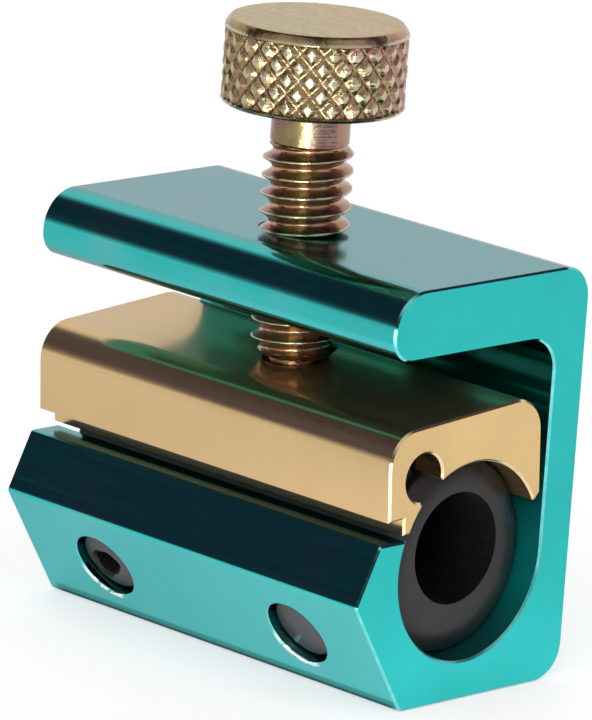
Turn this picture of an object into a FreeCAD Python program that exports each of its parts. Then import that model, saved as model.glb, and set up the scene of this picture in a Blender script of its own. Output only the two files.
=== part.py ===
import FreeCAD, Part
import math
import os

V = FreeCAD.Vector

# Cable lubricating clamp.  Millimetres.  The control cable runs along X, the open side of the
# channel faces -Y, and +Z is up.  The origin lies on the base face, straight below the axis of
# the channel's round groove and half way along it.

BODY_LENGTH = 34.8               # both extrusions are sawn to this length

# --- channel body -------------------------------------------------------------------------------
GROOVE_RADIUS = 6.9              # round groove that cradles the rubber seal
GROOVE_HEIGHT = 9.65             # groove axis above the base
WEB_THICKNESS = 3.0              # upright back wall
PLATE_THICKNESS = 4.8            # top plate that carries the screw thread
PLATE_CLEARANCE = 15.05          # groove axis to the underside of the top plate
PLATE_REACH = 9.05               # groove axis to the nose of the top plate
NOSE_TOP_RADIUS = 2.8
NOSE_BOTTOM_RADIUS = 1.9
BACK_TOP_RADIUS = 2.4
BACK_BOTTOM_RADIUS = 2.5
THROAT_RADIUS = 2.4              # inside corner between the web and the top plate
LIP_HEIGHT = 2.5                 # flat top of the front lip above the groove axis
LIP_REACH = 9.0                  # groove axis to the outer edge of the lip's top
BROW_REACH = 10.95               # groove axis to the edge where the two front bevels meet
BROW_DROP = 1.6                  # that edge below the groove axis
TOE_REACH = 5.95                 # groove axis to the front edge of the base
FRONT_EDGE_RADIUS = 0.4
TOE_EDGE_RADIUS = 0.8            # front edge of the base
SAW_EDGE_BREAK = 0.15            # deburred edge round each sawn end

# --- two cross holes in the lower bevel ---------------------------------------------------------
BOSS_HOLE_RADIUS = 2.6
BOSS_HOLE_OFFSET = 9.6           # each hole from mid-length, along X
BOSS_HOLE_DROP = 4.8             # hole centre below the brow edge, along the lower bevel
HOLE_EDGE_RADIUS = 0.15          # rounded mouth of each hole

# --- clamp bar: a second extrusion, drawn about the axis of its own groove ----------------------
BAR_GROOVE_RADIUS = 6.6
BAR_HEIGHT = 10.15               # groove axis to the bar's top
BAR_FRONT = 8.0                  # groove axis to the front face
BAR_BACK = 6.74                  # groove axis to the back face
BAR_CORNER_RADIUS = 2.5
BAR_FRONT_FOOT = 4.05            # foot of the front face above the bar's groove axis
BAR_TOE_REACH = 6.6              # outer side of the front toe, set back under the front face
BAR_TOE_FOOT = 2.85              # foot of the front toe
BAR_HEEL_FOOT = 2.6              # foot of the back toe
BAR_HEEL_CHAMFER = 0.48
BAR_LIFT = 0.55                  # bar's groove axis above the channel's groove axis when closed
BAR_TILT = 4.35                  # degrees; the seal holds the back of the closed bar higher
KEYHOLE_RADIUS = 1.72
KEYHOLE_REACH = 8.05             # bar's groove axis to the keyhole's centre
KEYHOLE_ANGLE = 125.5            # degrees from +Y, about the bar's groove axis
KEYHOLE_NECK = 2.4               # width of the slot that joins the keyhole to the groove
TIP_HOLE_CLEARANCE = 0.35        # round the screw's tip, which stands upright in the tilted bar
BAR_LAND = 1.5                   # metal under the bar's top that the tip and its ring trap
RING_POCKET_CLEARANCE = 0.6      # round the retaining ring, in the pocket under the land

# --- thumb screw, 1/4-20 UNC ---------------------------------------------------------------------
THREAD_MAJOR_RADIUS = 3.175
THREAD_PITCH = 1.27
THREAD_DEPTH = 0.685             # crest to root
THREAD_CLEARANCE = 0.09          # running clearance in the tapped hole
THREAD_PHASE = 187.0             # degrees; sets where the crests lie
SCREW_Y = -0.7                   # screw axis from the groove axis
SCREW_SEAT_GAP = 0.25            # screw's shoulder above the middle of the tilted bar's top
THREAD_LENGTH = 15.05
NECK_RADIUS = 2.75
NECK_LENGTH = 2.6
HEAD_RADIUS = 6.4
HEAD_HEIGHT = 5.95
HEAD_RIM_HEIGHT = 0.65           # plain bevel between the knurl and the head's top
HEAD_RIM_WIDTH = 0.4
HEAD_FOOT_BEVEL = 0.25           # plain bevel under the knurl
KNURL_COUNT = 24                 # diamonds round the head
KNURL_RISE = 1.9                 # height of one diamond
KNURL_DEPTH = 0.35
KNURL_PHASE = -33.0              # degrees; where one diamond stands, half way up the knurl
TIP_RADIUS = 1.9
RING_GAP = 0.3                   # ring below the land, which takes up the tilt
RING_THICKNESS = 0.6
RING_RADIUS = 2.8
RING_GROOVE_RADIUS = 1.4
RING_OPENING = 70.0              # degrees
TIP_END_LENGTH = 0.45            # tip below the ring

# --- rubber seal: one moulding, cut into a lower and an upper half ------------------------------
SEAL_RECESS = 1.5                # end of the seal inside the end of the channel
SEAL_FIT = 0.1                   # round the seal in the grooves, holes and keyhole
SEAL_EDGE_RADIUS = 0.9
BORE_RISE = 0.7                  # cable axis above the channel's groove axis
HOUSING_RADIUS = 3.95            # bore that grips the cable's outer housing
STOP_POSITION = -6.0             # X where the housing meets its stop
CHAMBER_RADIUS = 3.0             # chamber that the spray fills
CHAMBER_LENGTH = 6.4
CABLE_RADIUS = 1.2               # bore that wipes the bare inner cable
SPLIT_RISE = 17.5                # degrees; the split leaves the bore this far above level
SPLIT_GAP = 0.1
BOSS_RECESS = 0.65               # boss face inside the mouth of its cross hole
PORT_RADIUS = 1.1                # spray-straw port in the boss at -X
PORT_SHIFT = 0.7                 # port from its boss's axis, towards the end at -X
PORT_DROP = 0.5                  # port from its boss's axis, down the lower bevel

BODY_HEIGHT = GROOVE_HEIGHT + PLATE_CLEARANCE + PLATE_THICKNESS
PLATE_UNDERSIDE = GROOVE_HEIGHT + PLATE_CLEARANCE
SCREW_CORE_RADIUS = THREAD_MAJOR_RADIUS - THREAD_DEPTH
SEAL_LENGTH = BODY_LENGTH - 2 * SEAL_RECESS


def rounded_prism(corners, length):
    """Extrude a Y-Z outline along X, centred on X = 0.  A corner is (y, z, radius)."""
    points = [V(-length / 2, y, z) for y, z, _ in corners]
    edges = []
    ends = []
    for i, corner in enumerate(points):
        back = (points[i - 1] - corner).normalize()
        ahead = (points[(i + 1) % len(points)] - corner).normalize()
        radius = corners[i][2]
        if radius == 0:
            ends.append((corner, corner))
            continue
        half_angle = back.getAngle(ahead) / 2
        trim = radius / math.tan(half_angle)
        bisector = (back + ahead).normalize()
        middle = corner + bisector * (radius / math.sin(half_angle) - radius)
        start = corner + back * trim
        finish = corner + ahead * trim
        edges.append(Part.Arc(start, middle, finish).toShape())
        ends.append((start, finish))
    for i, (start, _) in enumerate(ends):
        before = ends[i - 1][1]
        edges.append(Part.makeLine(before, start))
    wire = Part.Wire(Part.__sortEdges__(edges))
    return Part.Face(wire).extrude(V(length, 0, 0))


def rod_x(radius, x0, x1, y, z):
    """A cylinder along X."""
    return Part.makeCylinder(radius, x1 - x0, V(x0, y, z), V(1, 0, 0))


def break_sawn_ends(solid, length):
    """Chamfer every edge that lies in the two end planes."""
    sawn = []
    for edge in solid.Edges:
        box = edge.BoundBox
        if box.XLength < 1e-6 and abs(abs(box.XMin) - length / 2) < 1e-6:
            sawn.append(edge)
    return solid.makeChamfer(SAW_EDGE_BREAK, sawn)


def thread_solid(major_radius, depth, extra_width, z0, z1):
    """A right-hand thread about Z, cut square at z0 and z1.  extra_width widens the ridge."""
    core_radius = major_radius - depth
    crest = THREAD_PITCH / 8 + extra_width
    root = crest + 2 * depth * math.tan(math.radians(30))
    low = z0 - 1.5 * THREAD_PITCH
    height = z1 - z0 + 3 * THREAD_PITCH
    sunk = core_radius - 0.15
    sunk_width = root + 0.3 * math.tan(math.radians(30))
    helix = Part.makeLongHelix(THREAD_PITCH, height, core_radius)
    helix.translate(V(0, 0, low))
    profile = Part.makePolygon([
        V(sunk, 0, low - sunk_width / 2),
        V(major_radius, 0, low - crest / 2),
        V(major_radius, 0, low + crest / 2),
        V(sunk, 0, low + sunk_width / 2),
        V(sunk, 0, low - sunk_width / 2),
    ])
    ridge = Part.Wire(helix.Edges).makePipeShell([profile], True, True)
    turned = 360.0 * low / THREAD_PITCH + THREAD_PHASE
    ridge.rotate(V(0, 0, 0), V(0, 0, 1), turned)
    core = Part.makeCylinder(core_radius, height, V(0, 0, low))
    blank = core.fuse(ridge)
    return blank.common(Part.makeCylinder(major_radius + 1, z1 - z0, V(0, 0, z0)))


def seat_bar(shape):
    """Move a shape from the bar's own axes to its closed place over the channel's groove."""
    placed = shape.copy()
    placed.rotate(V(0, 0, 0), V(1, 0, 0), BAR_TILT)
    placed.translate(V(0, 0, GROOVE_HEIGHT + BAR_LIFT))
    return placed


def bar_point(y, z):
    """Where a point of the seated section, given in part axes, lies in the bar's own axes."""
    tilt = math.radians(BAR_TILT)
    up = z - GROOVE_HEIGHT - BAR_LIFT
    return y * math.cos(tilt) + up * math.sin(tilt), up * math.cos(tilt) - y * math.sin(tilt)


def seated_height(z):
    """Height, on the screw's axis, of the bar's plane at height z in the bar's own axes."""
    tilt = math.radians(BAR_TILT)
    return GROOVE_HEIGHT + BAR_LIFT + (z + SCREW_Y * math.sin(tilt)) / math.cos(tilt)


def lower_bevel():
    """Unit vectors down the lower bevel and out of it, and the place of the hole centres."""
    brow = V(0, -BROW_REACH, GROOVE_HEIGHT - BROW_DROP)
    toe = V(0, -TOE_REACH, 0)
    down = (toe - brow).normalize()
    outward = V(0, down.z, -down.y)
    return down, outward, brow + down * BOSS_HOLE_DROP


def boss_axis_cylinder(radius, x, inner, recess, drop=0):
    """A cylinder square to the bevel, from depth inner to recess.  drop shifts it down the bevel."""
    down, outward, centre = lower_bevel()
    start = centre + down * drop - outward * inner
    start.x = x
    return Part.makeCylinder(radius, inner - recess, start, outward)


def wall_depth():
    """Depth along a cross hole from the bevel to the cable axis."""
    _, outward, centre = lower_bevel()
    return (centre - V(0, 0, GROOVE_HEIGHT + BORE_RISE)).dot(outward)


def round_hole_mouths(solid):
    """Round the edge where each cross hole meets the lower bevel."""
    _, outward, centre = lower_bevel()
    mouths = []
    for edge in solid.Edges:
        if not isinstance(edge.Curve, Part.Circle):
            continue
        off_bevel = abs((edge.Curve.Center - centre).dot(outward))
        if off_bevel < 1e-6 and abs(edge.Curve.Radius - BOSS_HOLE_RADIUS) < 1e-6:
            mouths.append(edge)
    return solid.makeFillet(HOLE_EDGE_RADIUS, mouths)


# Heights on the screw's axis, worked upwards from the closed bar.
LAND_TOP = seated_height(BAR_HEIGHT)
LAND_BOTTOM = seated_height(BAR_HEIGHT - BAR_LAND)
SHOULDER = LAND_TOP + SCREW_SEAT_GAP
THREAD_TOP = SHOULDER + THREAD_LENGTH
HEAD_BOTTOM = THREAD_TOP + NECK_LENGTH
HEAD_TOP = HEAD_BOTTOM + HEAD_HEIGHT
RING_TOP = LAND_BOTTOM - RING_GAP
RING_BOTTOM = RING_TOP - RING_THICKNESS
TIP_END = RING_BOTTOM - TIP_END_LENGTH


def channel_body():
    solid = rounded_prism([
        (-TOE_REACH, 0, TOE_EDGE_RADIUS),
        (GROOVE_RADIUS + WEB_THICKNESS, 0, BACK_BOTTOM_RADIUS),
        (GROOVE_RADIUS + WEB_THICKNESS, BODY_HEIGHT, BACK_TOP_RADIUS),
        (-PLATE_REACH, BODY_HEIGHT, NOSE_TOP_RADIUS),
        (-PLATE_REACH, PLATE_UNDERSIDE, NOSE_BOTTOM_RADIUS),
        (GROOVE_RADIUS, PLATE_UNDERSIDE, THROAT_RADIUS),
        (GROOVE_RADIUS, GROOVE_HEIGHT, 0),
        (0, GROOVE_HEIGHT, 0),
        (0, GROOVE_HEIGHT + LIP_HEIGHT, 0),
        (-LIP_REACH, GROOVE_HEIGHT + LIP_HEIGHT, FRONT_EDGE_RADIUS),
        (-BROW_REACH, GROOVE_HEIGHT - BROW_DROP, FRONT_EDGE_RADIUS),
    ], BODY_LENGTH)
    half = BODY_LENGTH / 2
    solid = solid.cut(rod_x(GROOVE_RADIUS, -half, half, 0, GROOVE_HEIGHT)).removeSplitter()
    solid = break_sawn_ends(solid, BODY_LENGTH)
    for x in (-BOSS_HOLE_OFFSET, BOSS_HOLE_OFFSET):
        solid = solid.cut(boss_axis_cylinder(BOSS_HOLE_RADIUS, x, wall_depth(), -1))
    solid = round_hole_mouths(solid)
    tap = thread_solid(THREAD_MAJOR_RADIUS + THREAD_CLEARANCE, THREAD_DEPTH,
                       2 * THREAD_CLEARANCE, PLATE_UNDERSIDE - 1, BODY_HEIGHT + 1)
    tap.translate(V(0, SCREW_Y, 0))
    return solid.cut(tap)


def clamp_bar():
    solid = rounded_prism([
        (-BAR_FRONT, BAR_FRONT_FOOT, 0),
        (-BAR_TOE_REACH, BAR_FRONT_FOOT, 0),
        (-BAR_TOE_REACH, BAR_TOE_FOOT, 0),
        (0, BAR_TOE_FOOT, 0),
        (0, BAR_HEEL_FOOT, 0),
        (BAR_BACK - BAR_HEEL_CHAMFER, BAR_HEEL_FOOT, 0),
        (BAR_BACK, BAR_HEEL_FOOT + BAR_HEEL_CHAMFER, 0),
        (BAR_BACK, BAR_HEIGHT, BAR_CORNER_RADIUS),
        (-BAR_FRONT, BAR_HEIGHT, BAR_CORNER_RADIUS),
    ], BODY_LENGTH)
    half = BODY_LENGTH / 2
    solid = solid.cut(rod_x(BAR_GROOVE_RADIUS, -half, half, 0, 0))
    solid = solid.cut(keyhole(KEYHOLE_RADIUS, KEYHOLE_NECK, BODY_LENGTH))
    solid = break_sawn_ends(solid, BODY_LENGTH)
    hole_y, _ = bar_point(SCREW_Y, (LAND_TOP + LAND_BOTTOM) / 2)
    ring_y, _ = bar_point(SCREW_Y, (RING_TOP + RING_BOTTOM) / 2)
    land_bottom = BAR_HEIGHT - BAR_LAND
    solid = solid.cut(Part.makeCylinder(TIP_RADIUS + TIP_HOLE_CLEARANCE, BAR_LAND + 2,
                                        V(0, hole_y, land_bottom - 1)))
    solid = solid.cut(Part.makeCylinder(RING_RADIUS + RING_POCKET_CLEARANCE, land_bottom,
                                        V(0, ring_y, 0)))
    return seat_bar(solid)


def keyhole(radius, neck, length):
    """Round bead and its neck, in the bar's own axes, reaching from the groove's axis."""
    bead = rod_x(radius, -length / 2, length / 2, 0, KEYHOLE_REACH)
    stem = Part.makeBox(length, neck, KEYHOLE_REACH - BAR_GROOVE_RADIUS / 2,
                        V(-length / 2, -neck / 2, BAR_GROOVE_RADIUS / 2))
    shape = bead.fuse(stem)
    shape.rotate(V(0, 0, 0), V(1, 0, 0), KEYHOLE_ANGLE - 90)
    return shape


def knurled_band(z0, z1):
    """Diamond knurl about Z from z0 to z1: pyramids between two crossing sets of valleys."""
    half_rise = KNURL_RISE / 2
    columns = 2 * KNURL_COUNT
    rows = 2 * math.ceil((z1 - z0) / KNURL_RISE + 0.5)
    low = (z0 + z1) / 2 - rows / 2 * half_rise

    def is_peak(column, row):
        return (column + row + rows // 2) % 2 == 0

    def lattice_point(column, row):
        radius = HEAD_RADIUS if is_peak(column, row) else HEAD_RADIUS - KNURL_DEPTH
        angle = math.radians(KNURL_PHASE) + math.pi * (column % columns) / KNURL_COUNT
        return V(radius * math.cos(angle), radius * math.sin(angle), low + row * half_rise)

    def flat_face(corners):
        return Part.Face(Part.makePolygon(corners + corners[:1]))

    faces = [flat_face([lattice_point(column, row) for column in range(columns)])
             for row in (0, rows)]
    for row in range(rows):
        for column in range(columns):
            a = lattice_point(column, row)
            b = lattice_point(column + 1, row)
            c = lattice_point(column + 1, row + 1)
            d = lattice_point(column, row + 1)
            if is_peak(column, row):
                faces += [flat_face([a, b, d]), flat_face([b, c, d])]
            else:
                faces += [flat_face([a, b, c]), flat_face([a, c, d])]
    band = Part.Solid(Part.Shell(faces))
    return band.common(Part.makeCylinder(HEAD_RADIUS + 1, z1 - z0, V(0, 0, z0)))


def knurled_head():
    foot_top = HEAD_BOTTOM + HEAD_FOOT_BEVEL
    rim_bottom = HEAD_TOP - HEAD_RIM_HEIGHT
    foot = Part.makeCone(HEAD_RADIUS - HEAD_FOOT_BEVEL, HEAD_RADIUS, HEAD_FOOT_BEVEL,
                         V(0, 0, HEAD_BOTTOM))
    rim = Part.makeCone(HEAD_RADIUS, HEAD_RADIUS - HEAD_RIM_WIDTH, HEAD_RIM_HEIGHT,
                        V(0, 0, rim_bottom))
    return knurled_band(foot_top, rim_bottom).fuse([foot, rim])


def thumb_screw():
    axis = V(0, SCREW_Y, 0)
    thread = thread_solid(THREAD_MAJOR_RADIUS, THREAD_DEPTH, 0, SHOULDER, THREAD_TOP)
    outline = [
        (0, SHOULDER),
        (SCREW_CORE_RADIUS - 0.2, SHOULDER),
        (THREAD_MAJOR_RADIUS, SHOULDER + THREAD_DEPTH + 0.2),
        (THREAD_MAJOR_RADIUS, THREAD_TOP - THREAD_DEPTH),
        (SCREW_CORE_RADIUS, THREAD_TOP),
        (0, THREAD_TOP),
    ]
    thread = thread.common(turned(outline))
    solid = thread.fuse([
        Part.makeCylinder(TIP_RADIUS, SHOULDER - RING_TOP, V(0, 0, RING_TOP)),
        Part.makeCylinder(RING_GROOVE_RADIUS, RING_THICKNESS, V(0, 0, RING_BOTTOM)),
        Part.makeCylinder(TIP_RADIUS, TIP_END_LENGTH, V(0, 0, TIP_END)),
        Part.makeCylinder(NECK_RADIUS, NECK_LENGTH, V(0, 0, THREAD_TOP)),
        knurled_head(),
    ])
    solid.translate(axis)
    return solid


def turned(outline):
    """Turn an outline of (radius, z) points, both ends on the axis, about Z."""
    points = [V(r, 0, z) for r, z in outline]
    wire = Part.makePolygon(points + points[:1])
    return Part.Face(wire).revolve(V(0, 0, 0), V(0, 0, 1), 360)


def tip_retaining_ring():
    inner = RING_GROOVE_RADIUS + 0.05
    disc = Part.makeCylinder(RING_RADIUS, RING_THICKNESS, V(0, 0, RING_BOTTOM))
    hole = Part.makeCylinder(inner, RING_THICKNESS, V(0, 0, RING_BOTTOM))
    opening = Part.makeCylinder(RING_RADIUS + 1, RING_THICKNESS, V(0, 0, RING_BOTTOM),
                                V(0, 0, 1), RING_OPENING)
    ring = disc.cut(hole).cut(opening)
    ring.translate(V(0, SCREW_Y, 0))
    return ring


def split_wedge(shift):
    """The part of space above the two split faces, which meet on the cable axis."""
    reach = 3 * GROOVE_RADIUS
    slope = reach * math.tan(math.radians(SPLIT_RISE))
    z = GROOVE_HEIGHT + BORE_RISE + shift
    top = z + slope + reach
    corners = [(0, z, 0), (reach, z + slope, 0), (reach, top, 0), (-reach, top, 0),
               (-reach, z + slope, 0)]
    return rounded_prism(corners, BODY_LENGTH + 2)


def cable_way():
    """The stepped bore: outer housing, spray chamber, bare inner cable."""
    z = GROOVE_HEIGHT + BORE_RISE
    half = BODY_LENGTH / 2
    chamber_end = STOP_POSITION - CHAMBER_LENGTH
    housing = rod_x(HOUSING_RADIUS, STOP_POSITION, half, 0, z)
    chamber = rod_x(CHAMBER_RADIUS, chamber_end, STOP_POSITION, 0, z)
    cable = rod_x(CABLE_RADIUS, -half, chamber_end, 0, z)
    return housing.fuse([chamber, cable])


def rounded_rod(radius):
    """The seal's outside, with its two end edges rounded."""
    rod = rod_x(radius, -SEAL_LENGTH / 2, SEAL_LENGTH / 2, 0, 0)
    rims = [edge for edge in rod.Edges if isinstance(edge.Curve, Part.Circle)]
    return rod.makeFillet(SEAL_EDGE_RADIUS, rims)


def seal_lower():
    solid = rounded_rod(GROOVE_RADIUS - SEAL_FIT)
    solid.translate(V(0, 0, GROOVE_HEIGHT))
    for x in (-BOSS_HOLE_OFFSET, BOSS_HOLE_OFFSET):
        boss = boss_axis_cylinder(BOSS_HOLE_RADIUS - SEAL_FIT, x, wall_depth(), BOSS_RECESS)
        solid = solid.fuse(boss)
    solid = solid.cut(cable_way())
    port_x = -BOSS_HOLE_OFFSET - PORT_SHIFT
    solid = solid.cut(boss_axis_cylinder(PORT_RADIUS, port_x, wall_depth(), 0, PORT_DROP))
    return solid.cut(split_wedge(-SPLIT_GAP / 2))


def seal_upper():
    solid = rounded_rod(BAR_GROOVE_RADIUS - SEAL_FIT)
    bead = keyhole(KEYHOLE_RADIUS - SEAL_FIT, KEYHOLE_NECK - 2 * SEAL_FIT, SEAL_LENGTH)
    solid = seat_bar(solid.fuse(bead))
    solid = solid.cut(cable_way())
    return solid.common(split_wedge(SPLIT_GAP / 2))


def one_solid(shape, name):
    """Hand back the single solid that the node holds."""
    solids = shape.Solids
    if len(solids) != 1:
        raise ValueError(f"{name} has {len(solids)} solids")
    return solids[0]


NODES = {
    "channel_body": channel_body,
    "clamp_bar": clamp_bar,
    "thumb_screw": thumb_screw,
    "tip_retaining_ring": tip_retaining_ring,
    "seal_lower": seal_lower,
    "seal_upper": seal_upper,
}

os.makedirs("parts", exist_ok=True)
for name, build in NODES.items():
    solid = one_solid(build(), name)
    solid.exportStep(f"parts/{name}.step")
    box = solid.BoundBox
    print(f"{name}: {solid.Volume:.1f} mm3, valid {solid.isValid()}, faces {len(solid.Faces)}, "
          f"X {box.XMin:.2f}..{box.XMax:.2f} Y {box.YMin:.2f}..{box.YMax:.2f} "
          f"Z {box.ZMin:.2f}..{box.ZMax:.2f}")
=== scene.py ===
import math

import bpy
import numpy as np
from mathutils import Matrix, Vector, noise


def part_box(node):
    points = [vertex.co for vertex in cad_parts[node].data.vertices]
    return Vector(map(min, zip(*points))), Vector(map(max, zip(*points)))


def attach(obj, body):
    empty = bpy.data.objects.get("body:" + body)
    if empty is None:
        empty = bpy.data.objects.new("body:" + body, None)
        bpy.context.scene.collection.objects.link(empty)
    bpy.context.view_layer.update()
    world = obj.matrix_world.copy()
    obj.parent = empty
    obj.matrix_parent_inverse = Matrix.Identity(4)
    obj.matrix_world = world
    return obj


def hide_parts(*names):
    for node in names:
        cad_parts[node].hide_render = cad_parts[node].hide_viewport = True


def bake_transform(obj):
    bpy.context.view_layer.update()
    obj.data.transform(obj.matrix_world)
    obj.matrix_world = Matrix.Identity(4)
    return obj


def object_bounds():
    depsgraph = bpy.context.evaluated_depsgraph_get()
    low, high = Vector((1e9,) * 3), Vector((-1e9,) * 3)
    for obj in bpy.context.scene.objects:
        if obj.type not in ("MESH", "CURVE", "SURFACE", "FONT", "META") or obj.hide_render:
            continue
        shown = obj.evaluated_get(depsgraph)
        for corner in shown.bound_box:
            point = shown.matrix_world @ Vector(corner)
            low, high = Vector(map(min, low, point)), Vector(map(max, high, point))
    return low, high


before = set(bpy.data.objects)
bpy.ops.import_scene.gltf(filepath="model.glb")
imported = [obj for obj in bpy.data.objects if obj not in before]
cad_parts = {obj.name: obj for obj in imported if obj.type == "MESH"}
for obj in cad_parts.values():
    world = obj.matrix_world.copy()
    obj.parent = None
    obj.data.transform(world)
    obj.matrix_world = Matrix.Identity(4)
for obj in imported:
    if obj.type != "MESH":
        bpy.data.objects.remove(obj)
cad_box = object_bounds()

MM = 0.001

# --- camera --------------------------------------------------------------------------------------
CAMERA_AZIMUTH = 44.36
CAMERA_ELEVATION = 14.10
CAMERA_ROLL = 4.01
CAMERA_DISTANCE = 477.35 * MM
CAMERA_TARGET = Vector((-1.72, 1.22, 19.45)) * MM
CAMERA_LENS = 342.3

# --- thumb screw ---------------------------------------------------------------------------------
THREAD_PITCH = 1.27 * MM
THREAD_DEPTH = 0.685 * MM
THREAD_PHASE = 187.0
THREAD_MAJOR_RADIUS = 3.175 * MM
THREAD_LENGTH = 15.05 * MM
CREST_HALF_WIDTH = 0.085        # share of the pitch
CREST_ROUNDING = 0.07 * MM
NECK_RADIUS = 2.75 * MM
NECK_LENGTH = 2.6 * MM
HEAD_HEIGHT = 5.95 * MM
HEAD_RIM_HEIGHT = 0.65 * MM
HEAD_RIM_WIDTH = 0.4 * MM
HEAD_FOOT_BEVEL = 0.25 * MM
KNURL_COUNT = 24
KNURL_RISE = 1.9 * MM
KNURL_PHASE = math.radians(-33.0)
VALLEY_DEPTH = 0.17 * MM
VALLEY_HALF_WIDTH = 0.29        # share of the knurl's spacing
PAD_CROWN = 0.2 * MM
KNURL_STEPS = 20                # columns and rows in one diamond
DENTS = ((0.05, 1.1), (0.045, 3.1), (0.03, 7.3))    # depth in mm, cells per mm
DENT_MEAN = 0.045 * MM
THREAD_COLUMNS = 96
THREAD_ROWS = 20                # in one pitch
RUN_OUT_SLOPE = 0.9
TIP_RADIUS = 1.9 * MM
TIP_GROOVE_RADIUS = 1.4 * MM
TIP_GROOVE_WIDTH = 0.6 * MM
TIP_END_LENGTH = 0.45 * MM
ACROSS_VIEW = (0.71, 0.70)     # left to right as the camera sees the screw; the passivation hues are laid along it

# --- rubber seal ---------------------------------------------------------------------------------
GROOVE_HEIGHT = 9.65 * MM
BAR_LIFT = 0.55 * MM
BAR_TILT = math.radians(4.35)
BORE_HEIGHT = GROOVE_HEIGHT + 0.7 * MM
HOUSING_RADIUS = 3.95 * MM
CHAMBER_RADIUS = 3.0 * MM
CABLE_RADIUS = 1.2 * MM
STOP_POSITION = -6.0 * MM
CHAMBER_LENGTH = 6.4 * MM
LOWER_RADIUS = 6.8 * MM
UPPER_RADIUS = 6.5 * MM
SEAL_EDGE_RADIUS = 0.35 * MM
SEAL_DOME_RISE = 0.5 * MM
SEAL_DOME_REACH = 2.1 * MM
SPLIT_RISE = math.radians(17.5)
BEAD_RADIUS = 1.62 * MM
BEAD_REACH = 8.05 * MM
BEAD_ANGLE = math.radians(125.5)
BEAD_NECK = 2.2 * MM
BEAD_NECK_FOOT = 5.2 * MM
BEAD_SET_BACK = 1.3 * MM
BOSS_RADIUS = 2.5 * MM
BOSS_RECESS = 0.65 * MM
BOSS_OFFSET = 9.6 * MM
BOSS_LENGTH = 6.0 * MM
BOSS_EDGE_RADIUS = 0.25 * MM
PORT_RADIUS = 1.1 * MM
PORT_SHIFT = 0.7 * MM
PORT_DROP = 0.5 * MM
HINGE_SECTION = ((4, 6.72), (10, 6.72), (17.5, 6.68), (25, 6.55), (31, 6.42))
HINGE_INSIDE = 5.9              # the section is in degrees and mm about the hinge's centre
HINGE_CENTRE = GROOVE_HEIGHT + 0.15 * MM

# --- the channel's lower bevel and its cross holes -----------------------------------------------
BROW_REACH = 10.95 * MM         # groove axis to the edge where the two front bevels meet
BROW_DROP = 1.6 * MM            # that edge below the groove axis
TOE_REACH = 5.95 * MM           # groove axis to the front edge of the base
HOLE_RADIUS = 2.6 * MM
HOLE_DROP = 4.8 * MM            # hole centre below the brow edge, along the lower bevel
CRESCENT_WIDTH = 0.24 * MM          # painted highlight: a white crescent beside each hole's lower lip
CRESCENT_SIDE = 0.45                # how far the crescent turns towards -X
CRESCENT_DOWN = 0.89                # and down the bevel

brow = Vector((0, -BROW_REACH, GROOVE_HEIGHT - BROW_DROP))
BEVEL_SIDE = Vector((1, 0, 0))
BEVEL_UP = (brow - Vector((0, -TOE_REACH, 0))).normalized()
BEVEL_OUTWARD = BEVEL_SIDE.cross(BEVEL_UP)
BEVEL_HOLE_CENTRE = brow - BEVEL_UP * HOLE_DROP

# --- finishes ------------------------------------------------------------------------------------
# painted highlight: the white of the crescents at the cross holes' lower lips
PAINTED_CRESCENT_WHITE = (0.93, 0.97, 0.96, 1)
# passivation hues, partly painted reflection: brighter in the middle, where the screw faces the
# camera
PASSIVATION_AND_PAINTED_SHEEN = ((0.05, (0.26, 0.12, 0.12, 1)), (0.20, (0.23, 0.185, 0.085, 1)),
                    (0.45, (0.31, 0.26, 0.13, 1)), (0.60, (0.36, 0.23, 0.16, 1)),
                    (0.75, (0.29, 0.15, 0.15, 1)), (0.95, (0.32, 0.19, 0.13, 1)))
HOLLOW_STAIN = (0.52, 0.29, 0.16, 1)
# crests rubbed to bare zinc, painted lighter also as their highlight
RUBBED_AND_LIT_CREST = (0.62, 0.54, 0.38, 1)
# the head's flat top, painted lighter than its side to stand in for its grazing reflection
LIT_TOP_OLIVE = (0.49, 0.36, 0.12, 1)
LIT_TOP_PINK = (0.58, 0.34, 0.12, 1)
LIT_TOP_WIPED = (0.36, 0.29, 0.15, 1)

# --- studio --------------------------------------------------------------------------------------
SHEET_RADIUS = 3.0
SHEET_GLOW = 0.55
NEAR_GLOW = 0.76                # painted light: in reflections the sheet glows brighter close to the part
FAR_GLOW = 0.54
NEAR_EDGE = 22 * MM
FAR_EDGE = 50 * MM
SIDE_REACH = 25 * MM            # the painted reflection glow changes from this far on the left of the part
LEFT_SHARE = 0.82
RIGHT_SHARE = 1.24              # to this far on its right
SECOND_GLOW = 0.24              # painted shade: share of the reflection glow left after a second reflection
PAINTED_POOL_GLOW = 11.0                # painted pool of light on the sheet in front of the part, seen in reflections
POOL_AZIMUTH = 35.0
POOL_HALF_ANGLE = 32.0
POOL_START = 38 * MM
POOL_FULL = 50 * MM
DARK_ROOM = (0.045, 0.027, 0.042, 1)
BACKDROP = (1.05, 1.05, 1.05, 1)
BACKDROP_DIRECTION = Vector((-0.50, 0.52, -0.69))
SIDE_GLOW = (0.8, 0.78, 0.77, 1)
SIDE_GLOW_AZIMUTHS = (-2, 92)
SIDE_GLOW_ELEVATION = 36


# --- mesh helpers --------------------------------------------------------------------------------
def mesh_object(name, vertices, faces, sharp_degrees=35.0):
    """A smooth-shaded object, sharp where faces meet at more than the given angle."""
    mesh = bpy.data.meshes.new(name)
    mesh.from_pydata([tuple(v) for v in vertices], [], faces)
    mesh.validate()
    smooth_faces(mesh, sharp_degrees)
    piece = bpy.data.objects.new(name, mesh)
    bpy.context.scene.collection.objects.link(piece)
    return piece


def smooth_faces(mesh, sharp_degrees):
    """Shade a mesh smoothly, apart from the edges that turn by more than the given angle."""
    mesh.polygons.foreach_set("use_smooth", [True] * len(mesh.polygons))
    mesh.set_sharp_from_angle(angle=math.radians(sharp_degrees))
    mesh.update()


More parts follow.
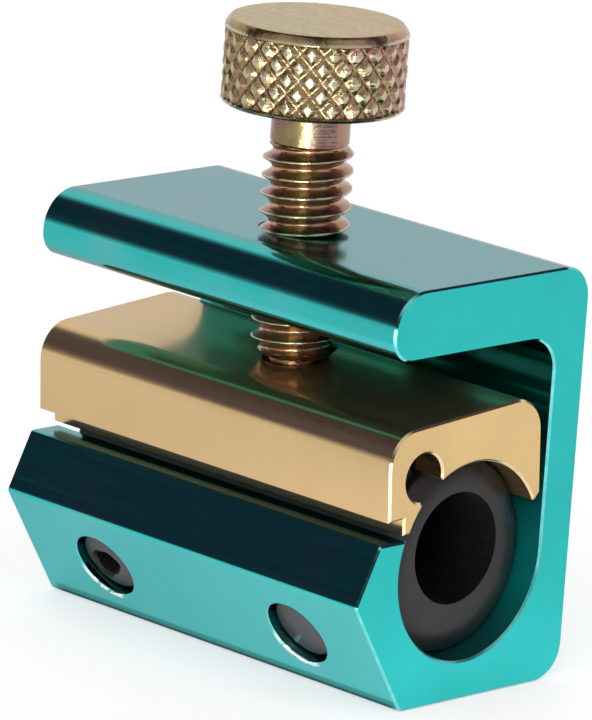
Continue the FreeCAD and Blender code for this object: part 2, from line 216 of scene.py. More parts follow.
def loft(rings, close_start, close_end):
    """Vertices and quads joining rings of equal length; an end may be closed to its centre."""
    count = len(rings[0])
    vertices = [p for ring in rings for p in ring]
    faces = []
    for i in range(len(rings) - 1):
        for j in range(count):
            k = (j + 1) % count
            a, b = i * count, (i + 1) * count
            faces.append((a + j, a + k, b + k, b + j))
    if close_start:
        vertices.append(sum(map(Vector, rings[0]), Vector()) / count)
        hub = len(vertices) - 1
        faces += [(hub, (j + 1) % count, j) for j in range(count)]
    if close_end:
        vertices.append(sum(map(Vector, rings[-1]), Vector()) / count)
        hub = len(vertices) - 1
        last = (len(rings) - 1) * count
        faces += [(hub, last + j, last + (j + 1) % count) for j in range(count)]
    return vertices, faces


def joined(*parts):
    """One list of vertices and faces from several."""
    vertices, faces = [], []
    for more_vertices, more_faces in parts:
        base = len(vertices)
        vertices += list(more_vertices)
        faces += [tuple(base + i for i in face) for face in more_faces]
    return vertices, faces


def lathe(outline, steps, axis_x, axis_y):
    """Turn (radius, z) points, from top to bottom, about an upright axis.  Both ends close."""
    rings = []
    for radius, z in outline:
        ring = []
        for j in range(steps):
            turn = 2 * math.pi * j / steps
            ring.append(Vector((axis_x + radius * math.cos(turn),
                                axis_y + radius * math.sin(turn), z)))
        rings.append(ring)
    return loft(rings, True, True)


# --- thumb screw ---------------------------------------------------------------------------------
screw_low, screw_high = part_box("thumb_screw")
SCREW_X = (screw_low.x + screw_high.x) / 2
SCREW_Y = (screw_low.y + screw_high.y) / 2
HEAD_RADIUS = (screw_high.x - screw_low.x) / 2
HEAD_TOP = screw_high.z
HEAD_BOTTOM = HEAD_TOP - HEAD_HEIGHT
THREAD_TOP = HEAD_BOTTOM - NECK_LENGTH
SHOULDER = THREAD_TOP - THREAD_LENGTH
TIP_END = screw_low.z


def valley(place, half_width):
    """Depth of a knurl valley, 0 to 1, where valleys lie half way between whole numbers."""
    away = np.abs(place - np.floor(place) - 0.5)
    slope = np.clip(1 - away / half_width, 0, 1)
    return slope * (1.25 - 0.25 * slope) * np.clip(slope * 6, 0, 1)


def pad_edge(place, height):
    """0 at the middle of a diamond, rising to 1 at its corners."""
    across, along = place + height, place - height
    return (across - np.round(across)) ** 2 * 2 + (along - np.round(along)) ** 2 * 2


def faded(z, start, finish):
    """0 at start, 1 at finish, eased between."""
    share = min(max((z - start) / (finish - start), 0), 1)
    return share * share * (3 - 2 * share)


def knurl_radius(turn, z, foot_top, rim_bottom):
    """Radius of the knurled side, all round at one height."""
    place = (turn - KNURL_PHASE) * KNURL_COUNT / (2 * math.pi)
    height = (z - (foot_top + rim_bottom) / 2) / KNURL_RISE
    valleys = np.maximum(valley(place + height, VALLEY_HALF_WIDTH),
                         valley(place - height, VALLEY_HALF_WIDTH))
    depth = VALLEY_DEPTH * valleys + PAD_CROWN * pad_edge(place, height)
    dents = []
    for t in turn:
        spot = Vector((math.cos(t), math.sin(t), 0)) * HEAD_RADIUS / MM + Vector((0, 0, z / MM))
        dents.append(sum(deep * noise.noise(spot * fine) for deep, fine in DENTS))
    depth = depth + np.array(dents) * MM + DENT_MEAN
    fade = faded(z, foot_top - 0.02 * MM, foot_top + 0.12 * MM)
    fade *= faded(z, rim_bottom + 0.02 * MM, rim_bottom - 0.12 * MM)
    return HEAD_RADIUS - np.maximum(depth * fade, 0)


def knurled_head():
    """The turned head: a flat top, a plain bevelled rim, and a diamond knurl rolled round it."""
    columns = KNURL_COUNT * KNURL_STEPS
    turn = np.arange(columns) * 2 * math.pi / columns
    foot_top = HEAD_BOTTOM + HEAD_FOOT_BEVEL
    rim_bottom = HEAD_TOP - HEAD_RIM_HEIGHT
    flat_radius = HEAD_RADIUS - HEAD_RIM_WIDTH
    rings = [(flat_radius * share, HEAD_TOP) for share in (0.25, 0.5, 0.75, 0.93)]
    rings += [(flat_radius - 0.08 * MM, HEAD_TOP), (flat_radius, HEAD_TOP - 0.03 * MM),
              (flat_radius + 0.06 * MM, HEAD_TOP - 0.1 * MM)]
    for share in (0.35, 0.6, 0.85):
        bulge = 0.03 * MM * math.sin(math.pi * share)
        rings.append((flat_radius + HEAD_RIM_WIDTH * share + bulge,
                      HEAD_TOP - HEAD_RIM_HEIGHT * share))
    rows = int((rim_bottom - foot_top) / (KNURL_RISE / KNURL_STEPS))
    for z in np.linspace(rim_bottom, foot_top, rows):
        rings.append((knurl_radius(turn, z, foot_top, rim_bottom), z))
    rings += [(HEAD_RADIUS - HEAD_FOOT_BEVEL * 0.45, HEAD_BOTTOM + HEAD_FOOT_BEVEL * 0.45),
              (HEAD_RADIUS - HEAD_FOOT_BEVEL, HEAD_BOTTOM + 0.02 * MM),
              (HEAD_RADIUS - HEAD_FOOT_BEVEL * 1.3, HEAD_BOTTOM), (NECK_RADIUS, HEAD_BOTTOM)]
    placed = []
    for radius, z in rings:
        radii = np.broadcast_to(radius, turn.shape)
        placed.append([Vector((SCREW_X + r * math.cos(t), SCREW_Y + r * math.sin(t), z))
                       for r, t in zip(radii, turn)])
    return mesh_object("knurled_head", *loft(placed, True, True), 40.0)


def thread_radius(place):
    """Radius of the rolled thread, with a small round crest and a wide round root."""
    away = abs(place - round(place))
    if away < CREST_HALF_WIDTH:
        return THREAD_MAJOR_RADIUS - CREST_ROUNDING * (away / CREST_HALF_WIDTH) ** 2
    share = (away - CREST_HALF_WIDTH) / (0.5 - CREST_HALF_WIDTH)
    fall = 1 - (1 - share) ** 1.75
    return THREAD_MAJOR_RADIUS - CREST_ROUNDING - (THREAD_DEPTH - CREST_ROUNDING) * fall


def thread_grid():
    """The threaded length as a grid whose rows follow the helix, cut off at both ends."""
    columns, steps = THREAD_COLUMNS, THREAD_ROWS
    first = int((SHOULDER / THREAD_PITCH - 1.5) * steps)
    last = int((THREAD_TOP / THREAD_PITCH + 1.5) * steps)
    core = THREAD_MAJOR_RADIUS - THREAD_DEPTH
    rows = last - first
    vertices = []
    for i in range(rows):
        for j in range(columns):
            turn = 2 * math.pi * j / columns
            z = ((first + i) / steps + j / columns) * THREAD_PITCH
            place = z / THREAD_PITCH - (turn - math.radians(THREAD_PHASE)) / (2 * math.pi)
            radius = thread_radius(place)
            held = min(max(z, SHOULDER), THREAD_TOP)
            foot = core - 0.1 * MM + (held - SHOULDER) * RUN_OUT_SLOPE
            run_out = core + 0.1 * THREAD_DEPTH + (THREAD_TOP - held) * RUN_OUT_SLOPE
            radius = min(radius, foot, run_out)
            if z != held:
                radius = min(radius, NECK_RADIUS * 0.8)
            vertices.append(Vector((SCREW_X + radius * math.cos(turn),
                                    SCREW_Y + radius * math.sin(turn), held)))
    faces = []
    for i in range(rows):
        for j in range(columns):
            across = j + 1
            rise = 0
            if across == columns:
                across, rise = 0, steps
            corners = (i * columns + j, (i + rise) * columns + across,
                       (i + rise + 1) * columns + across, (i + 1) * columns + j)
            if i + rise + 1 >= rows or i + 1 >= rows:
                continue
            levels = {round(vertices[c].z, 9) for c in corners}
            if len(levels) > 1:
                faces.append(corners)
    return vertices, faces


def threaded_shank():
    """The neck, the thread and the reduced tip with the groove for its ring, as one piece."""
    neck = lathe([
        (NECK_RADIUS + 0.25 * MM, HEAD_BOTTOM + 0.05 * MM),
        (NECK_RADIUS + 0.25 * MM, HEAD_BOTTOM),
        (NECK_RADIUS + 0.08 * MM, HEAD_BOTTOM - 0.08 * MM),
        (NECK_RADIUS, HEAD_BOTTOM - 0.25 * MM),
        (NECK_RADIUS, THREAD_TOP + 0.1 * MM),
        (NECK_RADIUS - 0.1 * MM, THREAD_TOP),
        (NECK_RADIUS * 0.7, THREAD_TOP - 0.1 * MM),
    ], 96, SCREW_X, SCREW_Y)
    ring_bottom = TIP_END + TIP_END_LENGTH
    ring_top = ring_bottom + TIP_GROOVE_WIDTH
    core = THREAD_MAJOR_RADIUS - THREAD_DEPTH
    tip = lathe([
        (core * 0.8, SHOULDER + 0.3 * MM),
        (core - 0.1 * MM, SHOULDER + 0.001 * MM),
        (core - 0.18 * MM, SHOULDER),
        (TIP_RADIUS + 0.1 * MM, SHOULDER),
        (TIP_RADIUS, SHOULDER - 0.1 * MM),
        (TIP_RADIUS, ring_top),
        (TIP_GROOVE_RADIUS, ring_top),
        (TIP_GROOVE_RADIUS, ring_bottom),
        (TIP_RADIUS, ring_bottom),
        (TIP_RADIUS, TIP_END + 0.15 * MM),
        (TIP_RADIUS - 0.15 * MM, TIP_END),
    ], 64, SCREW_X, SCREW_Y)
    return mesh_object("threaded_shank", *joined(thread_grid(), neck, tip), 40.0)


# --- rubber seal ---------------------------------------------------------------------------------
SEAL_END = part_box("seal_lower")[1].x
CHAMBER_END = STOP_POSITION - CHAMBER_LENGTH


def bar_place(y, z):
    """A point of the bar's own section, about its groove axis, in the frame."""
    return (y * math.cos(BAR_TILT) - z * math.sin(BAR_TILT),
            GROOVE_HEIGHT + BAR_LIFT + y * math.sin(BAR_TILT) + z * math.cos(BAR_TILT))


def ray_to_circle(angle, centre_z, radius):
    """Where a ray from the bore's axis meets a circle centred on (0, centre_z)."""
    drop = BORE_HEIGHT - centre_z
    along = -drop * math.sin(angle) + math.sqrt(radius ** 2 - (drop * math.cos(angle)) ** 2)
    return along * math.cos(angle), BORE_HEIGHT + along * math.sin(angle)


def seal_end_profile():
    """How far the end stands back along X, and the outside stands in, from rim to bore."""
    profile = []
    for i in range(6):
        turn = math.radians(70) * i / 5
        profile.append((SEAL_DOME_RISE + SEAL_EDGE_RADIUS * (1 - math.sin(turn)),
                        SEAL_EDGE_RADIUS * (1 - math.cos(turn))))
    rim_back, rim_in = profile[-1]
    for i in range(1, 9):
        share = i / 8
        profile.append((rim_back * (1 - share) ** 2,
                        rim_in + (SEAL_DOME_REACH - rim_in) * share))
    return profile


def seal_stations():
    """X places along the seal with the bore's radius and how far the outside is set in."""
    profile = seal_end_profile()
    lead = 0.12 * MM
    stations = [(-SEAL_END, CABLE_RADIUS + lead, profile[-1][1])]
    for inset, set_back in reversed(profile):
        stations.append((-SEAL_END + inset, CABLE_RADIUS, set_back))
    stations += [
        (CHAMBER_END, CABLE_RADIUS, 0),
        (CHAMBER_END + 0.01 * MM, CHAMBER_RADIUS, 0),
        (STOP_POSITION, CHAMBER_RADIUS, 0),
        (STOP_POSITION + 0.01 * MM, HOUSING_RADIUS, 0),
    ]
    for inset, set_back in profile:
        stations.append((SEAL_END - inset, HOUSING_RADIUS, set_back))
    stations.append((SEAL_END, HOUSING_RADIUS + lead, profile[-1][1]))
    return stations


def sleeve_sector(centre_z, radius, start, finish, steps):
    """The part of the sleeve between two angles about the bore."""
    rings = []
    for x, bore, set_back in seal_stations():
        angles = [start + (finish - start) * i / steps for i in range(steps + 1)]
        outer = [ray_to_circle(a, centre_z, radius - set_back) for a in angles]
        inner = [(bore * math.cos(a), BORE_HEIGHT + bore * math.sin(a)) for a in angles]
        section = outer + inner[::-1]
        rings.append([Vector((x, y, z)) for y, z in section])
    count = 2 * (steps + 1)
    vertices, faces = loft(rings, False, False)
    last = (len(rings) - 1) * count
    for j in range(steps):
        k = count - 1 - j
        faces.append((j + 1, j, k, k - 1))
        faces.append((last + j, last + j + 1, last + k - 1, last + k))
    return vertices, faces


def bevel_ring(centre, radius, count, ragged=False):
    """A ring parallel to the lower bevel, torn a little if it is ragged."""
    ring = []
    for j in range(count):
        turn = 2 * math.pi * j / count
        tear = 1.0
        if ragged:
            tear += 0.13 * math.sin(2 * turn + 0.5) + 0.07 * math.sin(3 * turn + 1)
            tear += 0.04 * math.sin(7 * turn)
        offset = BEVEL_SIDE * math.cos(turn) + BEVEL_UP * math.sin(turn)
        ring.append(centre + offset * radius * tear)
    return ring


def boss(x, bored):
    """A moulded boss in a cross hole, seen at its recessed face; the port runs through one."""
    rim = BOSS_RADIUS - BOSS_EDGE_RADIUS
    port_rim = PORT_RADIUS + 0.2 * MM
    outline = [(BOSS_RADIUS, BOSS_LENGTH)]
    for i in range(6):
        turn = math.pi / 2 * i / 5
        outline.append((rim + BOSS_EDGE_RADIUS * math.cos(turn),
                        BOSS_RECESS + BOSS_EDGE_RADIUS * (1 - math.sin(turn))))
    if bored:
        outline += [(port_rim, BOSS_RECESS), (PORT_RADIUS, BOSS_RECESS + 0.25 * MM),
                    (PORT_RADIUS, BOSS_LENGTH)]
    else:
        outline += [(rim * 0.5, BOSS_RECESS + 0.05 * MM), (rim * 0.1, BOSS_RECESS + 0.06 * MM)]
    rings = []
    for radius, depth in outline:
        centre = Vector((x, 0, 0)) + BEVEL_HOLE_CENTRE - BEVEL_OUTWARD * depth
        in_port = bored and radius <= port_rim
        if in_port:
            centre -= BEVEL_SIDE * PORT_SHIFT + BEVEL_UP * PORT_DROP
        rings.append(bevel_ring(centre, radius, 64, in_port))
    return loft(rings, False, not bored)


def port_cutter():
    """The stretch of the spray port that goes through the sleeve's wall."""
    mouth = BEVEL_HOLE_CENTRE - BEVEL_SIDE * (BOSS_OFFSET + PORT_SHIFT) - BEVEL_UP * PORT_DROP
    rings = [bevel_ring(mouth - BEVEL_OUTWARD * depth, PORT_RADIUS, 32)
             for depth in (2.0 * MM, 10.0 * MM)]
    return mesh_object("port_cutter", *loft(rings, True, True))


def cut_away(piece, cutter):
    """Subtract one mesh from another and leave the result in the piece's mesh."""
    modifier = piece.modifiers.new("cut", "BOOLEAN")
    modifier.operation = "DIFFERENCE"
    modifier.solver = "EXACT"
    modifier.object = cutter
    depsgraph = bpy.context.evaluated_depsgraph_get()
    mesh = bpy.data.meshes.new_from_object(piece.evaluated_get(depsgraph))
    piece.modifiers.clear()
    piece.data = mesh
    bpy.data.objects.remove(cutter)
    smooth_faces(mesh, 35.0)


def seal_lower():
    """The lower half of the sleeve, cut for the port, and its two bosses."""
    angles = (math.pi - SPLIT_RISE, 2 * math.pi + SPLIT_RISE)
    sleeve = mesh_object("seal_lower_half",
                         *sleeve_sector(GROOVE_HEIGHT, LOWER_RADIUS, *angles, 72))
    cut_away(sleeve, port_cutter())
    bosses = mesh_object("seal_bosses", *joined(boss(-BOSS_OFFSET, True),
                                                boss(BOSS_OFFSET, False)))
    return [sleeve, bosses]


def seal_bead():
    """The bead that keys the upper half into the bar, with its neck, as one lofted bar."""
    outline = []
    half_neck = BEAD_NECK / 2
    opening = math.asin(half_neck / BEAD_RADIUS)
    for i in range(33):
        turn = -math.pi / 2 + opening + (2 * math.pi - 2 * opening) * i / 32
        outline.append((BEAD_RADIUS * math.cos(turn), BEAD_REACH + BEAD_RADIUS * math.sin(turn)))
    outline += [(-half_neck, BEAD_NECK_FOOT), (half_neck, BEAD_NECK_FOOT)]
    lean = BEAD_ANGLE - math.pi / 2
    inset = 0.25 * MM
    ends = SEAL_END - BEAD_SET_BACK
    rings = []
    for x, share in ((-ends, 0.9), (-ends + inset, 1.0), (ends - inset, 1.0), (ends, 0.9)):
        ring = []
        for across, reach in outline:
            across, reach = across * share, BEAD_REACH + (reach - BEAD_REACH) * share
            y = across * math.cos(lean) - reach * math.sin(lean)
            z = across * math.sin(lean) + reach * math.cos(lean)
            ring.append(Vector((x, *bar_place(y, z))))
        rings.append(ring)
    return loft(rings, True, True)


def seal_upper():
    """The upper half of the sleeve, with the bead that the bar holds it by."""
    gap = math.radians(0.04)
    sector = sleeve_sector(GROOVE_HEIGHT + BAR_LIFT, UPPER_RADIUS, SPLIT_RISE + gap,
                           math.pi - SPLIT_RISE - gap, 48)
    return mesh_object("seal_upper_half", *joined(sector, seal_bead()))


def seal_hinge():
    """The thin web at the back that joins the halves; it stays put when the bar lifts."""
    section = list(HINGE_SECTION) + [(turn, HINGE_INSIDE) for turn, _ in HINGE_SECTION[::-1]]
    rings = []
    for x in np.linspace(-SEAL_END + 1 * MM, SEAL_END - 1 * MM, 9):
        ring = []
        for degrees, radius in section:
            angle = math.radians(degrees)
            ring.append(Vector((x, radius * MM * math.cos(angle),
                                HINGE_CENTRE + radius * MM * math.sin(angle))))
        rings.append(ring)
    return mesh_object("seal_hinge_web", *loft(rings, True, True))


# --- shader helpers ------------------------------------------------------------------------------
def add(tree, kind, **settings):
    """A new node.  A setting named after an input sets or links it; others set the node."""
    node = tree.nodes.new(kind)
    for name, value in settings.items():
        label = name.replace("_", " ")
        if hasattr(node, name):
            setattr(node, name, value)
        elif label in node.inputs:
            put(tree, node.inputs[label], value)
        else:
            raise KeyError(f"{kind} has no {name}")
    return node


def put(tree, socket, value):
    """Set a socket, or link it when the value is another node's output."""
    if isinstance(value, bpy.types.NodeSocket):
        tree.links.new(value, socket)
    else:
        socket.default_value = value


def math_node(tree, operation, *values):
    """The result of one maths node."""
    node = tree.nodes.new("ShaderNodeMath")
    node.operation = operation
    for socket, value in zip(node.inputs, values):
        put(tree, socket, value)
    return node.outputs[0]


def product(tree, *values):
    result = values[0]
    for value in values[1:]:
        result = math_node(tree, "MULTIPLY", result, value)
    return result


def total(tree, *values):
    result = values[0]
    for value in values[1:]:
        result = math_node(tree, "ADD", result, value)
    return result


def larger(tree, first, second):
    return math_node(tree, "MAXIMUM", first, second)


def opposite(tree, share):
    """What is left of 1."""
    return math_node(tree, "SUBTRACT", 1.0, share)


def off_axis(tree, across, up):
    """Distance from an axis, from the two offsets at right angles to it."""
    return math_node(tree, "SQRT", total(tree, product(tree, across, across),
                                         product(tree, up, up)))


def mix_colour(tree, share, first, second, blend="MIX"):
    """The first colour, going over to the second as the share goes from 0 to 1."""
    node = tree.nodes.new("ShaderNodeMix")
    node.data_type = "RGBA"
    node.blend_type = blend
    put(tree, node.inputs[0], share)
    put(tree, node.inputs[6], first)
    put(tree, node.inputs[7], second)
    return node.outputs[2]


def shaded(tree, colour, level):
    """A colour multiplied by a level that changes over the surface."""
    grey = add(tree, "ShaderNodeCombineColor", Red=level, Green=level, Blue=level).outputs[0]
    return mix_colour(tree, 1.0, colour, grey, "MULTIPLY")


def map_range(tree, value, low, high, to_low, to_high, smooth=False):
    """A value carried from one range to another and held at its ends."""
    node = tree.nodes.new("ShaderNodeMapRange")
    if smooth:
        node.interpolation_type = "SMOOTHSTEP"
    for socket, item in zip(node.inputs, (value, low, high, to_low, to_high)):
        put(tree, socket, item)
    return node.outputs[0]


def components(tree, vector):
    """The X, Y and Z of a vector."""
    return add(tree, "ShaderNodeSeparateXYZ", Vector=vector).outputs


def stretched(tree, x, y, z):
    """A place whose parts are scaled one by one, so that a pattern runs long or short."""
    return add(tree, "ShaderNodeCombineXYZ", X=x, Y=y, Z=z).outputs[0]


def pattern(tree, place, scale, detail, roughness, distortion=0.0):
    """Noise from 0 to 1, whose scale is in cells per metre."""
    return add(tree, "ShaderNodeTexNoise", Vector=place, Scale=scale, Detail=detail,
               Roughness=roughness, Distortion=distortion).outputs[0]


def pointing(tree, vector, direction):
    """How far a vector points in a fixed direction: 1 along it, -1 against it."""
    node = add(tree, "ShaderNodeVectorMath", operation="DOT_PRODUCT")
    tree.links.new(vector, node.inputs[0])
    node.inputs[1].default_value = direction
    return node.outputs["Value"]


def object_coordinates(tree):
    return tree.nodes.new("ShaderNodeTexCoord").outputs


def new_group(name, inputs, outputs):
    """An empty shader group with named sockets: (name, kind, default) in, (name, kind) out."""
    tree = bpy.data.node_groups.new(name, "ShaderNodeTree")
    for label, kind, default in inputs:
        socket = tree.interface.new_socket(label, in_out="INPUT", socket_type=kind)
        socket.default_value = default
    for label, kind in outputs:
        tree.interface.new_socket(label, in_out="OUTPUT", socket_type=kind)
    entry = tree.nodes.new("NodeGroupInput")
    leave = tree.nodes.new("NodeGroupOutput")
    return tree, entry.outputs, leave.inputs


def use_group(tree, group, **values):
    """Place a shader group in a tree and return its outputs."""
    node = tree.nodes.new("ShaderNodeGroup")
    node.node_tree = group
    for name, value in values.items():
        put(tree, node.inputs[name.replace("_", " ")], value)
    return node.outputs


def material(name):
    """A new material, its tree and its Principled shader."""
    made = bpy.data.materials.new(name)
    made.use_nodes = True
    tree = made.node_tree
    return made, tree, tree.nodes["Principled BSDF"]


def emboss(tree, shader, height, strength, distance):
    """Give a material fine relief."""
    bump = add(tree, "ShaderNodeBump", Strength=strength, Distance=distance, Height=height)
    tree.links.new(bump.outputs[0], shader.inputs["Normal"])


def paint(piece, made):
    piece.data.materials.clear()
    piece.data.materials.append(made)


# --- anodised aluminium --------------------------------------------------------------------------
FLOAT = "NodeSocketFloat"
COLOUR = "NodeSocketColor"


def drawn_lines_group():
    """Fine lines that the extrusion die draws along X, broken up along their length."""
    tree, entry, leave = new_group("drawn_lines", [("Fineness", FLOAT, 4000.0),
                                                   ("Length", FLOAT, 25.0)],
                                   [("Lines", FLOAT), ("Patches", FLOAT)])
    place = object_coordinates(tree)["Object"]
    x, y, z = components(tree, place)
    long_place = stretched(tree, product(tree, x, entry["Length"]),
                           product(tree, y, entry["Fineness"]),
                           product(tree, z, entry["Fineness"]))
    tree.links.new(pattern(tree, long_place, 1.0, 3.0, 0.6), leave["Lines"])
    tree.links.new(pattern(tree, place, 140.0, 2.0, 0.5), leave["Patches"])
    return tree


def sawn_end_group():
    """Masks for the sawn end faces and for the deburred, unanodised edge round them, painted
    lighter partly as a highlight.
    """
    tree, _, leave = new_group("sawn_end", [], [("End", FLOAT), ("Bare Edge And Highlight", FLOAT),
                                                ("Grain", FLOAT)])
    coordinates = object_coordinates(tree)
    facing = math_node(tree, "ABSOLUTE", components(tree, coordinates["Normal"])[0])
    end = map_range(tree, facing, 0.93, 0.97, 0.0, 1.0)
    off_side = map_range(tree, facing, 0.3, 0.5, 0.0, 1.0)
    edge = math_node(tree, "SUBTRACT", off_side, end)
    scratches = pattern(tree, coordinates["Object"], 1400.0, 3.0, 0.7)
    # the edge's light colour: partly real unanodised metal, partly painted highlight
    bare_and_highlight = product(tree, edge, map_range(tree, scratches, 0.4, 0.62, 0.25, 0.5))
    tree.links.new(end, leave["End"])
    tree.links.new(bare_and_highlight, leave["Bare Edge And Highlight"])
    tree.links.new(pattern(tree, coordinates["Object"], 6500.0, 3.0, 0.7), leave["Grain"])
    return tree


def groove_mask(tree, radius):
    """1 on what lies within the given radius of the groove's axis."""
    _, y, z = components(tree, object_coordinates(tree)["Object"])
    away = off_axis(tree, y, math_node(tree, "SUBTRACT", z, GROOVE_HEIGHT))
    return math_node(tree, "LESS_THAN", away, radius)


def web_face_mask(tree):
    """1 on the upright inner face of the channel's back web."""
    coordinates = object_coordinates(tree)
    forward = math_node(tree, "LESS_THAN", components(tree, coordinates["Normal"])[1], -0.9)
    behind = math_node(tree, "GREATER_THAN", components(tree, coordinates["Object"])[1], 5 * MM)
    return product(tree, forward, behind)


def painted_mouth_highlight_mask(tree):
    """1 on the broken crescent of painted highlight along the lower lip of each cross hole."""
    coordinates = object_coordinates(tree)
    x, y, z = components(tree, coordinates["Object"])
    nearest = product(tree, math_node(tree, "SIGN", x), BOSS_OFFSET)
    across = math_node(tree, "SUBTRACT", x, nearest)
    level = total(tree, product(tree, y, BEVEL_UP.y), product(tree, z, BEVEL_UP.z))
    above = math_node(tree, "SUBTRACT", level, BEVEL_HOLE_CENTRE.dot(BEVEL_UP))
    radius = off_axis(tree, across, above)
    inside = map_range(tree, radius, HOLE_RADIUS - 0.02 * MM, HOLE_RADIUS + 0.03 * MM, 0.0, 1.0)
    outside = map_range(tree, radius, HOLE_RADIUS + CRESCENT_WIDTH,
                        HOLE_RADIUS + CRESCENT_WIDTH + 0.12 * MM, 1.0, 0.0)
    toward = math_node(tree, "SUBTRACT", product(tree, across, -CRESCENT_SIDE),
                       product(tree, above, CRESCENT_DOWN))
    arc = map_range(tree, math_node(tree, "DIVIDE", toward, radius), 0.62, 0.85, 0.0, 1.0)
    lip = math_node(tree, "GREATER_THAN", pointing(tree, coordinates["Normal"], BEVEL_OUTWARD),
                    0.3)
    crescent_breaks = pattern(tree, coordinates["Object"], 1300.0, 2.0, 0.6)
    return product(tree, inside, outside, lip, arc, map_range(tree, crescent_breaks, 0.36, 0.46, 0.0, 1.0))


def anodised_colour(tree, drawn, ends, dye, end_dye, worn, bare_and_highlight):
    """The dye, cloudy along the sides and mottled on the sawn ends, with deburred edges painted
    lighter, partly real and partly a painted highlight.
    """
    toned = shaded(tree, dye, map_range(tree, drawn["Patches"], 0.3, 0.7, 0.94, 1.04))
    cloudy = map_range(tree, drawn["Patches"], 0.52, 0.78, 0.0, 0.4)
    side = mix_colour(tree, cloudy, toned, worn)
    mottle = map_range(tree, drawn["Patches"], 0.3, 0.7, 0.95, 1.06)
    speckle = map_range(tree, ends["Grain"], 0.3, 0.7, 0.93, 1.05)
    end = shaded(tree, end_dye, product(tree, mottle, speckle))
    return mix_colour(tree, ends["Bare Edge And Highlight"], mix_colour(tree, ends["End"], side, end), bare_and_highlight)


def anodised_dullness(tree, groove, body, groove_body):
    """How much light is scattered: most half way up inside, and some on handled tops."""
    coordinates = object_coordinates(tree)
    inner = larger(tree, product(tree, groove, groove_body),
                   product(tree, web_face_mask(tree), groove_body))
    height = components(tree, coordinates["Object"])[2]
    open_low = map_range(tree, height, 3.5 * MM, 8 * MM, 0.3, 1.0, True)
    open_high = map_range(tree, height, 10 * MM, 18 * MM, 1.0, 0.1, True)
    upward = components(tree, coordinates["Normal"])[2]
    handled = map_range(tree, upward, 0.97, 0.995, 0.0, body * 2)
    return larger(tree, larger(tree, product(tree, inner, open_low, open_high), handled), body)


def anodised(name, groups, dye, end_dye, bare_and_highlight, worn, glance, roughness, haze, body,
             groove_body, groove_radius, painted_mouth_highlights):
    """Dyed and sealed anodised aluminium: drawn sides, sawn ends, and a thin deburred edge, partly
    painted highlight.
    """
    made, tree, shader = material(name)
    drawn, ends = (use_group(tree, group) for group in groups)
    colour = anodised_colour(tree, drawn, ends, dye, end_dye, worn, bare_and_highlight)
    if painted_mouth_highlights:
        # painted highlight: white crescents beside the cross holes' lower lips
        colour = mix_colour(tree, painted_mouth_highlight_mask(tree), colour, PAINTED_CRESCENT_WHITE)
    tree.links.new(colour, shader.inputs["Base Color"])
    side_rough = map_range(tree, drawn["Lines"], 0.3, 0.7, roughness - 0.04, roughness + 0.04)
    groove = groove_mask(tree, groove_radius)
    matt = larger(tree, groove, ends["End"])
    tree.links.new(total(tree, side_rough, product(tree, matt, 0.22)),
                   shader.inputs["Roughness"])
    dull = anodised_dullness(tree, groove, body, groove_body)
    tree.links.new(opposite(tree, dull), shader.inputs["Metallic"])
    shader.inputs["Specular Tint"].default_value = glance
    tree.links.new(map_range(tree, ends["End"], 0.0, 1.0, 0.8, 0.45),
                   shader.inputs["Coat Weight"])
    shader.inputs["Coat Roughness"].default_value = haze
    side_relief = product(tree, drawn["Lines"], opposite(tree, ends["End"]))
    end_relief = product(tree, ends["Grain"], ends["End"], 1.5)
    emboss(tree, shader, total(tree, side_relief, end_relief), 0.12, 0.02 * MM)
    return made


# --- zinc-plated steel ---------------------------------------------------------------------------
def zinc_tint_group():
    """Yellow passivation: olive to pink to mauve across it, lighter in the middle as painted
    reflection, and copper brown in hollows.
    """
    tree, entry, leave = new_group("zinc_tint", [("Place", FLOAT, 0.5), ("Hollow", FLOAT, 0.0)],
                                   [("Colour", COLOUR), ("Specks", FLOAT), ("Pits", FLOAT)])
    place = object_coordinates(tree)["Object"]
    drift = pattern(tree, place, 420.0, 4.0, 0.65, 0.6)
    across = total(tree, entry["Place"], map_range(tree, drift, 0.3, 0.7, -0.2, 0.2))
    ramp = add(tree, "ShaderNodeValToRGB", Fac=across)
    elements = ramp.color_ramp.elements
    while len(elements) < len(PASSIVATION_AND_PAINTED_SHEEN):
        elements.new(0.5)
    for element, (position, colour) in zip(elements, PASSIVATION_AND_PAINTED_SHEEN):
        element.position = position
        element.color = colour
    stained = mix_colour(tree, entry["Hollow"], ramp.outputs[0], HOLLOW_STAIN)
    tree.links.new(stained, leave["Colour"])
    tree.links.new(pattern(tree, place, 2600.0, 2.0, 0.6), leave["Specks"])
    tree.links.new(pattern(tree, place, 900.0, 2.0, 0.6), leave["Pits"])
    return tree


